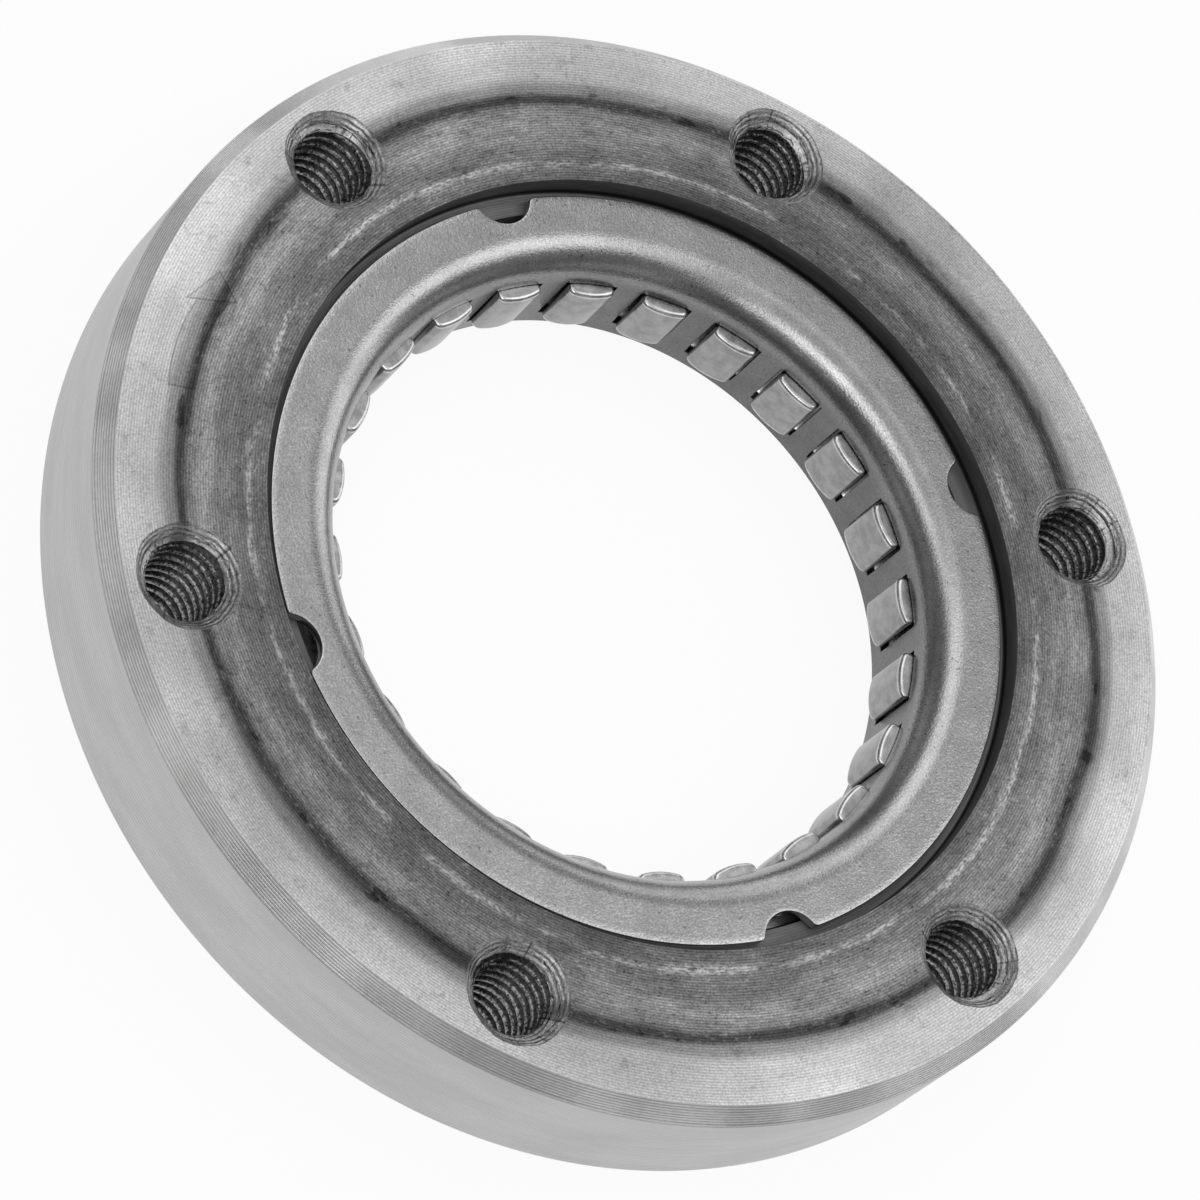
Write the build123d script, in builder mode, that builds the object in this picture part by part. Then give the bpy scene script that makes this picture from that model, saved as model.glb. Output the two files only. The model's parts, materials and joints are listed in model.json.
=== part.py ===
"""One-way sprag clutch for a starter drive.

A tapped outer race holds a flanged inner cage, an outer cage, a ribbon spring and a ring of sprags.
The origin is the centre of the back face. +Z is the axis and points to the front, flanged face.
All sizes are in millimetres.
"""

import os
from math import cos, radians, sin, sqrt

from build123d import *

# Shaft and sprag space, which the rest is built around
shaft_radius = 26.5
sprag_space = 6.7

# Sprags
sprag_count = 24
sprag_length = 6.0
sprag_cam_radius = 6.5
sprag_cam_offset = 0.25
sprag_nose_half_width = 2.2
sprag_nose_depth = 2.25
sprag_waist_half_width = 1.5
sprag_waist_depth = 0.8
sprag_head_half_width = 2.5
sprag_head_depth = 2.0
sprag_corner_break = 0.5
sprag_race_gap = 0.08

# Inner cage: flange, roll-over and windowed cylinder
cage_shaft_gap = 1.15
cage_thickness = 1.0
cage_roll_radius = 3.4
arc_chamfer_share = 0.7
cage_rim_height = 1.75
cage_back_gap = 1.15
cage_turn = 8.3
flange_sink = 1.35
flange_side_gap = 0.9
flange_seat_gap = 0.1
notch_count = 4
notch_depth = 2.05
notch_radius = 2.7
notch_lip_radius = 0.5
notch_turn = 1.2

# Windows in both cages, one for each sprag
window_land = 0.15
window_end_gap = 0.1
inner_window_side_gap = 0.25
outer_window_side_gap = 0.2

# Outer cage
outer_cage_gap = 0.3
outer_cage_thickness = 0.9
outer_cage_rim_height = 1.2

# Ribbon spring
ribbon_thickness = 0.3
ribbon_rail_height = 1.0
ribbon_waist_gap = 0.35

# Outer race
front_chamfer_radial = 1.4
front_chamfer_axial = 1.75
back_chamfer = 0.35
ledge_width = 2.0
bore_lead_in = 0.5

# Tapped bolt holes, and the steel left inside and outside their circle
bolt_count = 6
bolt_circle_inner_wall = 7.8
bolt_circle_outer_wall = 7.0
thread_wall_radius = 3.35
front_countersink_radius = 4.7
back_countersink_radius = 4.2
countersink_angle = 90

# Heights above the back face, built up from the cage's lower rim
window_bottom = cage_back_gap + cage_rim_height
sprag_bottom = window_bottom + window_end_gap
window_top = sprag_bottom + sprag_length + window_end_gap
window_height = window_top - window_bottom
window_middle = (window_bottom + window_top) / 2
roll_bottom = window_top + window_land
flange_top = roll_bottom + cage_roll_radius
flange_bottom = flange_top - cage_thickness
ledge_height = flange_bottom - flange_seat_gap
race_width = flange_top + flange_sink

# Inside of the cage's bend, where a chamfer of this share of the radius lies closest to the arc
cage_inner_bend = arc_chamfer_share * (cage_roll_radius - cage_thickness)

# Radii, built outwards from the shaft
cage_inner_radius = shaft_radius + cage_shaft_gap
cage_outer_radius = cage_inner_radius + cage_thickness
race_bore_radius = shaft_radius + sprag_space
sprag_centre_radius = shaft_radius + sprag_space / 2 - sprag_race_gap
outer_cage_outer_radius = race_bore_radius - outer_cage_gap
outer_cage_inner_radius = outer_cage_outer_radius - outer_cage_thickness
ribbon_inner_radius = sprag_centre_radius - ribbon_thickness / 2
ribbon_outer_radius = sprag_centre_radius + ribbon_thickness / 2
counterbore_radius = race_bore_radius + ledge_width
flange_radius = counterbore_radius - flange_side_gap
notch_centre_radius = flange_radius - notch_depth + notch_radius
bolt_circle_radius = counterbore_radius + bolt_circle_inner_wall
race_radius = bolt_circle_radius + bolt_circle_outer_wall

# Angles
sprag_pitch = 360 / sprag_count
notch_angle = cage_turn + notch_turn


def cut_windows(wall_inner_radius, wall_outer_radius, width, low, high, start=cage_turn):
    """Cuts one square-cornered window per sprag through the ring wall that is being built."""
    near = sqrt(wall_inner_radius**2 - (width / 2) ** 2) - cage_thickness / 4
    far = wall_outer_radius + cage_thickness / 4
    with Locations(Plane.XY.offset((low + high) / 2)):
        with PolarLocations((near + far) / 2, sprag_count, start):
            Box(far - near, width, high - low, mode=Mode.SUBTRACT)


def ring_section(inner_radius, outer_radius, low, high):
    """Upright rectangle, drawn beside the axis, that turns into a plain ring."""
    with Locations(((inner_radius + outer_radius) / 2, (low + high) / 2)):
        Rectangle(outer_radius - inner_radius, high - low)


def sprag_outline():
    """Closed outline of a sprag, x outwards from the clutch axis, with a nose inside and a head outside."""
    half_height = sprag_space / 2
    nose_centre = -half_height + sprag_cam_radius
    head_centre = half_height - sprag_cam_radius

    def nose_point(y):
        return (nose_centre - sqrt(sprag_cam_radius**2 - (y - sprag_cam_offset) ** 2), y)

    def head_point(y):
        return (head_centre + sqrt(sprag_cam_radius**2 - (y + sprag_cam_offset) ** 2), y)

    def flank(side):
        return [
            (sprag_nose_depth - half_height, side * sprag_nose_half_width),
            (-sprag_waist_depth / 2, side * sprag_waist_half_width),
            (sprag_waist_depth / 2, side * sprag_waist_half_width),
            (half_height - sprag_head_depth, side * sprag_head_half_width),
        ]

    ThreePointArc(
        nose_point(-sprag_nose_half_width),
        nose_point(sprag_cam_offset),
        nose_point(sprag_nose_half_width),
    )
    Polyline(
        nose_point(sprag_nose_half_width),
        *flank(1),
        head_point(sprag_head_half_width),
    )
    ThreePointArc(
        head_point(sprag_head_half_width),
        head_point(-sprag_cam_offset),
        head_point(-sprag_head_half_width),
    )
    Polyline(
        head_point(-sprag_head_half_width),
        *reversed(flank(-1)),
        nose_point(-sprag_nose_half_width),
    )


os.makedirs("parts", exist_ok=True)

# Outer race: turned ring with a counterbore, a race bore and tapped holes
with BuildPart() as outer_race:
    with BuildSketch(Plane.XZ):
        with BuildLine():
            Polyline(
                (race_bore_radius + bore_lead_in, 0),
                (race_radius - back_chamfer, 0),
                (race_radius, back_chamfer),
                (race_radius, race_width - front_chamfer_axial),
                (race_radius - front_chamfer_radial, race_width),
                (counterbore_radius, race_width),
                (counterbore_radius, ledge_height),
                (race_bore_radius, ledge_height),
                (race_bore_radius, bore_lead_in),
                close=True,
            )
        make_face()
    revolve(axis=Axis.Z)
    with Locations(Plane.XY.offset(race_width)):
        with PolarLocations(bolt_circle_radius, bolt_count):
            CounterSinkHole(thread_wall_radius, front_countersink_radius, race_width, countersink_angle)
    with Locations(-Plane.XY):
        with PolarLocations(bolt_circle_radius, bolt_count):
            CounterSinkHole(thread_wall_radius, back_countersink_radius, race_width, countersink_angle)
outer_race.part.label = "outer_race"
export_step(outer_race.part, "parts/outer_race.step")

# Inner cage: an L section with a large roll-over, then the windows and the flange notches
with BuildPart() as inner_cage:
    with BuildSketch(Plane.XZ) as cage_section:
        with BuildLine():
            Polyline(
                (cage_inner_radius, cage_back_gap),
                (cage_inner_radius, flange_top),
                (flange_radius, flange_top),
                (flange_radius, flange_bottom),
                (cage_outer_radius, flange_bottom),
                (cage_outer_radius, cage_back_gap),
                close=True,
            )
        make_face()
        inside_corner = (cage_outer_radius, flange_bottom)
        chamfer(cage_section.vertices().sort_by_distance(inside_corner)[0], cage_inner_bend)
        roll_corner = (cage_inner_radius, flange_top)
        fillet(cage_section.vertices().sort_by_distance(roll_corner)[0], cage_roll_radius)
    revolve(axis=Axis.Z)
    with BuildSketch(Plane.XY.offset(flange_bottom)):
        with PolarLocations(notch_centre_radius, notch_count, notch_angle):
            Circle(notch_radius)
    extrude(amount=cage_thickness, mode=Mode.SUBTRACT)
    notch_mouth_edges = inner_cage.edges().filter_by(Axis.Z).filter_by_position(
        Axis.Z, flange_bottom, flange_top
    )
    fillet(notch_mouth_edges, notch_lip_radius)
    cut_windows(
        cage_inner_radius,
        cage_outer_radius,
        2 * (sprag_nose_half_width + inner_window_side_gap),
        window_bottom,
        window_top,
    )
inner_cage.part.label = "inner_cage"
export_step(inner_cage.part, "parts/inner_cage.step")

# Outer cage: plain ring just inside the race bore, with wider windows for the sprag heads
with BuildPart() as outer_cage:
    with BuildSketch(Plane.XZ):
        ring_section(
            outer_cage_inner_radius,
            outer_cage_outer_radius,
            window_bottom - outer_cage_rim_height,
            window_top + outer_cage_rim_height,
        )
    revolve(axis=Axis.Z)
    cut_windows(
        outer_cage_inner_radius,
        outer_cage_outer_radius,
        2 * (sprag_head_half_width + outer_window_side_gap),
        window_bottom,
        window_top,
    )
outer_cage.part.label = "outer_cage"
export_step(outer_cage.part, "parts/outer_cage.step")

# Ribbon spring: thin strip at the sprag waists, with two rails and a bar between each pair of sprags
with BuildPart() as ribbon_spring:
    with BuildSketch(Plane.XZ):
        ring_section(
            ribbon_inner_radius,
            ribbon_outer_radius,
            window_bottom - ribbon_rail_height,
            window_top + ribbon_rail_height,
        )
    revolve(axis=Axis.Z)
    cut_windows(
        ribbon_inner_radius,
        ribbon_outer_radius,
        2 * (sprag_waist_half_width + ribbon_waist_gap),
        window_bottom,
        window_top,
    )
ribbon_spring.part.label = "ribbon_spring"
export_step(ribbon_spring.part, "parts/ribbon_spring.step")

# Sprags: one loose cam piece in each pair of windows
for number in range(1, sprag_count + 1):
    angle = radians(cage_turn + (number - 1) * sprag_pitch)
    outwards = (cos(angle), sin(angle), 0)
    sprag_plane = Plane(
        origin=(sprag_centre_radius * outwards[0], sprag_centre_radius * outwards[1], sprag_bottom),
        x_dir=outwards,
        z_dir=(0, 0, 1),
    )
    with BuildPart() as sprag:
        with BuildSketch(sprag_plane) as sprag_face:
            with BuildLine():
                sprag_outline()
            make_face()
            profile_corners = sprag_face.vertices().sort_by(Axis.X)
            chamfer(profile_corners[:2] + profile_corners[-2:], sprag_corner_break)
        extrude(amount=sprag_length)
    sprag_name = f"sprag_{number:02d}"
    sprag.part.label = sprag_name
    export_step(sprag.part, f"parts/{sprag_name}.step")
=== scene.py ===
"""Looks of the sprag clutch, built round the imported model.

Lengths are in metres and angles in radians, unless a heading says otherwise.
Places and sizes come from the frame where it holds them.
"""

import json
from math import acos, asin, atan2, cos, pi, radians, sin, sqrt, tau

import bmesh
import bpy
import numpy as np
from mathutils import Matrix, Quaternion, Vector

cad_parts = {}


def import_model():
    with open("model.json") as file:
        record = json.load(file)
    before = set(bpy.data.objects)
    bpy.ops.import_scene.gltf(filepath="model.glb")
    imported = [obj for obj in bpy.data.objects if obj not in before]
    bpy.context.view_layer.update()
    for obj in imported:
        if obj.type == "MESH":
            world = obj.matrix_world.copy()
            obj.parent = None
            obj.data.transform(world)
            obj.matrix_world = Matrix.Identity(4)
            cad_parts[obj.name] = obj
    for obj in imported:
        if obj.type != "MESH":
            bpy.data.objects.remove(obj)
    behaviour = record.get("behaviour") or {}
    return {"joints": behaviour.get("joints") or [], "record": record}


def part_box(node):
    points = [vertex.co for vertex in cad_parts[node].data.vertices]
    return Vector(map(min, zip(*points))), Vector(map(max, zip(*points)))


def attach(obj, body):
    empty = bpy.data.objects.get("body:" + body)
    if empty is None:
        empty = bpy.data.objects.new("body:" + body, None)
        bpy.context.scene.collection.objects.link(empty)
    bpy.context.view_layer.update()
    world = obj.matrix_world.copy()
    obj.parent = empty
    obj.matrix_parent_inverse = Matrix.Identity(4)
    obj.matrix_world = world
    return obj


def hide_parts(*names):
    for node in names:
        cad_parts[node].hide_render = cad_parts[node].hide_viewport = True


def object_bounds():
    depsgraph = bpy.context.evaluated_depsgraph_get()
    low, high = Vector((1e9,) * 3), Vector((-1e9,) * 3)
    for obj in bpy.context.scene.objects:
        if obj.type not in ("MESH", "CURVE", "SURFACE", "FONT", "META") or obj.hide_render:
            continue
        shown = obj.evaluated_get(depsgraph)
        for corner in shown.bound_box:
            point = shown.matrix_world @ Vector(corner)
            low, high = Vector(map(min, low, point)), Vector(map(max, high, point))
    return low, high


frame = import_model()
cad_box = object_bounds()

MM = 0.001


def mount(name):
    """The record's mount of this name."""
    return next(m for m in frame["record"]["mounts"] if m["name"] == name)


def heights(node):
    """Lowest and highest height of a CAD node."""
    low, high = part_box(node)
    return low[2], high[2]


def outer_radius(node):
    """Radius of a round CAD node."""
    low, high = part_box(node)
    return (high[0] - low[0]) / 2


# Sizes that the frame holds
RACE_RADIUS = outer_radius("outer_race")
RACE_BACK, RACE_FRONT = heights("outer_race")
FLANGE_RADIUS = outer_radius("inner_cage")
CAGE_BOTTOM, FLANGE_TOP = heights("inner_cage")
SPRAG_LOW, SPRAG_HIGH = heights("sprag_01")
BOLTS = mount("bolt_holes")["dims"]
BOLT_CIRCLE = BOLTS["pcd_mm"] / 2 * MM
BOLT_COUNT = BOLTS["count"]
THREAD_MINOR = BOLTS["hole_r_mm"] * MM
TILTS = [joint for joint in frame["joints"] if joint["name"].endswith("_tilt")]
SPRAG_COUNT = len(TILTS)
SPRAG_PITCH = tau / SPRAG_COUNT
FIRST_X, FIRST_Y = TILTS[0]["pos_m"][:2]
SPRAG_TURN = atan2(FIRST_Y, FIRST_X)

# Outer race
COUNTERBORE = 35.2 * MM
RACE_BORE = 33.2 * MM
LEDGE_GAP = 0.1 * MM
LEDGE_FILLET = 0.12 * MM
LEDGE_ROUND = 0.1 * MM
FRONT_CHAMFER_RADIAL = 1.4 * MM
FRONT_CHAMFER_AXIAL = 1.75 * MM
FRONT_CHAMFER_ROUND = 0.12 * MM
BACK_CHAMFER = 0.35 * MM
BACK_CHAMFER_ROUND = 0.1 * MM
BORE_LEAD_IN = 0.5 * MM
EDGE_BREAK = 0.04 * MM
FRONT_SINK = 4.7 * MM
BACK_SINK = 4.2 * MM

# Thread. Crest, root and row places are shares of the pitch
THREAD_MAJOR = 4.0 * MM
THREAD_PITCH = 1.25 * MM
THREAD_CREST = 0.25
THREAD_ROOT = 0.125
THREAD_ROWS = (0.0, 0.125, 0.23, 0.33, 0.4375, 0.5625, 0.67, 0.77, 0.875)
FRONT_RUN_OUT = 0.1 * MM
BACK_RUN_OUT = 0.02 * MM

# Torn rim of a countersink: waves round it, each with its count and its height
BURR_WAVES = ((3, 0.05 * MM), (7, 0.035 * MM), (16, 0.02 * MM), (31, 0.012 * MM))
FIRST_SEED = 40

# Drill marks in a countersink: uneven rings, and nicks that lean by an angle for each metre of depth
RING_DEPTH = 0.03 * MM
RING_PITCH = 0.34 * MM
RING_WANDER = 1.4
NICK_DEPTH = 0.012 * MM
NICK_COUNT = 19
NICK_LEAN = 9000
MARKS_START = 0.15 * MM

# Inner cage
CAGE_INSIDE = 27.65 * MM
CAGE_WALL = 1.0 * MM
CAGE_EDGE = 0.06 * MM
ROLL_RADIUS = 3.4 * MM
FLAT_START = 0.12 * MM
FLANGE_EDGE = 0.1 * MM
NOTCH_COUNT = 4
NOTCH_DEPTH = 2.05 * MM
NOTCH_RADIUS = 2.7 * MM
NOTCH_LIP = 0.5 * MM
NOTCH_TURN = SPRAG_TURN + radians(1.2)

# Windows, outer cage and ribbon
WINDOW_END_GAP = 0.1 * MM
INNER_WINDOW = 4.9 * MM
OUTER_WINDOW = 5.4 * MM
RIBBON_WINDOW = 3.7 * MM
OUTER_CAGE_WALL = 0.9 * MM
OUTER_CAGE_EDGE = 0.08 * MM
RIBBON_WALL = 0.3 * MM
RIBBON_EDGE = 0.03 * MM

# Sprags
SPRAG_SPACE = 6.7 * MM
CAM_RADIUS = 6.5 * MM
CAM_OFFSET = 0.25 * MM
NOSE_HALF = 2.2 * MM
NOSE_DEPTH = 2.25 * MM
WAIST_HALF = 1.5 * MM
WAIST_DEPTH = 0.8 * MM
HEAD_HALF = 2.5 * MM
HEAD_DEPTH = 2.0 * MM
CAM_CORNER = 0.7 * MM
FLANK_CORNER = 0.5 * MM
SPRAG_EDGE = 0.38 * MM
CAP_INSET = 1.15 * SPRAG_EDGE

# Sizes that follow
SPRAG_MIDDLE = (SPRAG_LOW + SPRAG_HIGH) / 2
SPRAG_HALF = (SPRAG_HIGH - SPRAG_LOW) / 2
WINDOW_LOW = SPRAG_LOW - WINDOW_END_GAP
WINDOW_HIGH = SPRAG_HIGH + WINDOW_END_GAP
WINDOW_MIDDLE = (WINDOW_LOW + WINDOW_HIGH) / 2
FLANGE_LOW = FLANGE_TOP - CAGE_WALL
LEDGE_HEIGHT = FLANGE_LOW - LEDGE_GAP
ROLL_LOW = FLANGE_TOP - ROLL_RADIUS
ROLL_OUT = CAGE_INSIDE + ROLL_RADIUS

# Direction arrow on the front face: radii and other lengths in mm, azimuths in degrees
ARROW_BEND = (27.95, 152.7)
ARROW_BEND_RADIUS = 15.9
ARROW_SHAFT = 2.2
ARROW_TAIL = (43.0, 157.3)
ARROW_HEAD = ((45.4, 146.9), (43.9, 141.9), (41.4, 144.3))
ARROW_LINE = 0.14
ARROW_EDGE = 0.05

# Marks and tones of the materials: pitches, radii and heights in mm, and the wander of a groove in turns
GROOVE_WANDER = 0.35
FACE_GROOVE = 0.25
FACE_REACH = (35.0, 50.0)
# Grey levels by radius. The dip to 0.078 and 0.088 at 42.75 and 43.1 is a painted dark reflection, a ring on
# the hole circle.
FACE_TONES = (
    (35.2, 0.17), (36.2, 0.2), (36.9, 0.23), (37.6, 0.21), (39.2, 0.26), (40.7, 0.35),
    (41.8, 0.28), (42.75, 0.078), (43.1, 0.088), (44.0, 0.36), (45.3, 0.7), (48.6, 0.8),
)
INNER_BAND = (42.2, 44.6)
WORN_RING, WORN_WIDTH = 36.95, 0.55
# Radius and width of the blots that darken the painted dark reflection ring
REFLECTION_RING, REFLECTION_WIDTH = 43.0, 1.6
# Radius and width of that painted dark reflection ring in the countersinks
SINK_REFLECTION_RING, SINK_REFLECTION_WIDTH = 42.9, 1.5
BORE_GROOVE = 0.25
# Heights over which the bore wall's painted shade lightens
BORE_SHADE_TO_LIGHT = (11.9, 12.3)
LEDGE_TO_WALL = (34.95, 35.15)
# Distances from the hole's axis, from the crests' painted light to the grooves' painted shade
CREST_TO_GROOVE = (3.37, 3.52)
# Radii over which the cage's bend goes from painted shade to full tone
ROLL_SHADE_TO_LIGHT = (30.1, 31.1)
# Heights over which the cage's wall goes from painted shade to full tone
WALL_SHADE_TO_LIGHT = (8.8, 12.4)
# Distances from each sprag end, where its painted highlight starts and where it is full
END_HIGHLIGHT_FROM_END = (0.5, 0.2)


# Mesh building

SHARP_ANGLE = radians(35)
BEVEL_ANGLE = radians(50)
JOIN_DISTANCE = 1e-7


def directions(angles):
    """Unit vectors in the plane, one for each angle."""
    return np.stack([np.cos(angles), np.sin(angles)], axis=-1)


def spun(flat, turn):
    """Flat points turned about the axis."""
    return flat @ np.array([[cos(turn), sin(turn)], [-sin(turn), cos(turn)]])


class Shell:
    """Collects rows of points and the faces between them, then makes one closed mesh."""

    def __init__(self):
        self.points = []
        self.faces = []
        self.looks = []
        self.count = 0

    def row(self, points):
        """Adds points and gives their numbers."""
        numbers = np.arange(self.count, self.count + len(points))
        self.points.append(points)
        self.count += len(points)
        return numbers

    def level(self, flat, height):
        """Adds flat points at one height, or each at its own."""
        return self.row(np.c_[flat, np.broadcast_to(height, len(flat))])

    def ring(self, radius, height, angles):
        """Adds a ring of points about the axis."""
        return self.level(radius * directions(angles), height)

    def strip(self, first, second, look=0, closed=True, skip=()):
        """Quads between two rows of equal length, without the columns in skip."""
        last = len(first) if closed else len(first) - 1
        for i in range(last):
            if i in skip:
                continue
            j = (i + 1) % len(first)
            self.faces.append((first[i], first[j], second[j], second[i]))
            self.looks.append(look)

    def strips(self, rows, look=0, skip=()):
        """A strip between each row and the next."""
        for first, second in zip(rows, rows[1:]):
            self.strip(first, second, look, skip=skip)

    def lace(self, first, first_angles, second, second_angles):
        """Triangles between two closed rows whose points stand at different angles."""
        i = j = 0
        n, m = len(first), len(second)
        while i < n or j < m:
            next_first = first_angles[(i + 1) % n] + tau * ((i + 1) // n)
            next_second = second_angles[(j + 1) % m] + tau * ((j + 1) // m)
            if j >= m or (i < n and next_first <= next_second):
                self.faces.append((first[i % n], first[(i + 1) % n], second[j % m]))
                i += 1
            else:
                self.faces.append((first[i % n], second[(j + 1) % m], second[j % m]))
                j += 1
            self.looks.append(0)

    def cap(self, row):
        """One flat face over a closed row."""
        self.faces.append(tuple(row))
        self.looks.append(0)

    def build(self, name, materials):
        """Makes the object: joins equal points, drops empty faces, and turns all faces outwards."""
        mesh = bpy.data.meshes.new(name)
        points = np.concatenate(self.points)
        mesh.from_pydata(points.tolist(), [], [tuple(int(k) for k in face) for face in self.faces])
        mesh.polygons.foreach_set("material_index", self.looks)
        work = bmesh.new()
        work.from_mesh(mesh)
        bmesh.ops.remove_doubles(work, verts=work.verts, dist=JOIN_DISTANCE)
        bmesh.ops.dissolve_degenerate(work, edges=work.edges, dist=JOIN_DISTANCE)
        bmesh.ops.recalc_face_normals(work, faces=work.faces)
        work.to_mesh(mesh)
        work.free()
        mesh.polygons.foreach_set("use_smooth", [True] * len(mesh.polygons))
        mesh.set_sharp_from_angle(angle=SHARP_ANGLE)
        for material in materials:
            mesh.materials.append(material)
        piece = bpy.data.objects.new(name, mesh)
        bpy.context.scene.collection.objects.link(piece)
        return piece


def round_corners(corners, steps=5):
    """Closed outline through (x, y, radius) corners, with an arc in place of each corner."""
    outline = []
    count = len(corners)
    for k, (x, y, radius) in enumerate(corners):
        corner = np.array([x, y])
        if radius == 0:
            outline.append(corner)
            continue
        before = np.array(corners[k - 1][:2]) - corner
        after = np.array(corners[(k + 1) % count][:2]) - corner
        before /= np.linalg.norm(before)
        after /= np.linalg.norm(after)
        half = acos(np.clip(before @ after, -1, 1)) / 2
        middle = corner + (before + after) / np.linalg.norm(before + after) * radius / sin(half)
        start = corner + before * radius / np.tan(half) - middle
        end = corner + after * radius / np.tan(half) - middle
        first = atan2(start[1], start[0])
        sweep = (atan2(end[1], end[0]) - first + pi) % tau - pi
        outline.extend(middle + radius * directions(first + sweep * np.linspace(0, 1, steps + 1)))
    return outline


def break_edges(piece, width, segments=2):
    """Rounds the sharp edges of a piece a little."""
    bevel = piece.modifiers.new("edge_break", "BEVEL")
    bevel.width = width
    bevel.segments = segments
    bevel.limit_method = "ANGLE"
    bevel.angle_limit = BEVEL_ANGLE


def finish_piece(piece, body, node):
    """Puts a piece on its body in place of its CAD node."""
    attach(piece, body)
    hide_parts(node)


# Materials


class Nodes:
    """Short calls that add nodes to one node tree. A value is a plain number or another node's output."""

    def __init__(self, tree):
        self.nodes = tree.nodes
        self.links = tree.links

    def add(self, kind, **settings):
        node = self.nodes.new(kind)
        for name, value in settings.items():
            setattr(node, name, value)
        return node

    def plug(self, socket, value):
        """Links an output, or sets a plain value."""
        if isinstance(value, bpy.types.NodeSocket):
            self.links.new(value, socket)
        else:
            socket.default_value = value

    def math(self, operation, *values):
        node = self.add("ShaderNodeMath", operation=operation)
        for socket, value in zip(node.inputs, values):
            self.plug(socket, value)
        return node.outputs[0]

    def chain(self, operation, first, *others):
        """One operation over several values, from left to right."""
        for value in others:
            first = self.math(operation, first, value)
        return first

    def plus(self, *values):
        return self.chain("ADD", *values)

    def minus(self, *values):
        return self.chain("SUBTRACT", *values)

    def times(self, *values):
        return self.chain("MULTIPLY", *values)

    def least(self, *values):
        return self.chain("MINIMUM", *values)

    def most(self, *values):
        return self.chain("MAXIMUM", *values)

    def length(self, x, y):
        """Length of a flat vector."""
        return self.math("SQRT", self.plus(self.times(x, x), self.times(y, y)))

    def spread(self, value, low, high, out_low=0.0, out_high=1.0, smooth=True):
        """Maps low..high to out_low..out_high and holds the ends."""
        node = self.add("ShaderNodeMapRange")
        node.interpolation_type = "SMOOTHSTEP" if smooth else "LINEAR"
        self.plug(node.inputs["Value"], value)
        node.inputs["From Min"].default_value = low
        node.inputs["From Max"].default_value = high
        node.inputs["To Min"].default_value = out_low
        node.inputs["To Max"].default_value = out_high
        return node.outputs[0]

    def shade(self, mark, share):
        """Factor that is 1 off a mark and goes to a share of that on it."""
        return self.spread(mark, 0.0, 1.0, 1.0, share)

    def mix_shaders(self, factor, first, second):
        node = self.add("ShaderNodeMixShader")
        for socket, value in zip(node.inputs, (factor, first, second)):
            self.links.new(value, socket)
        return node.outputs[0]


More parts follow.
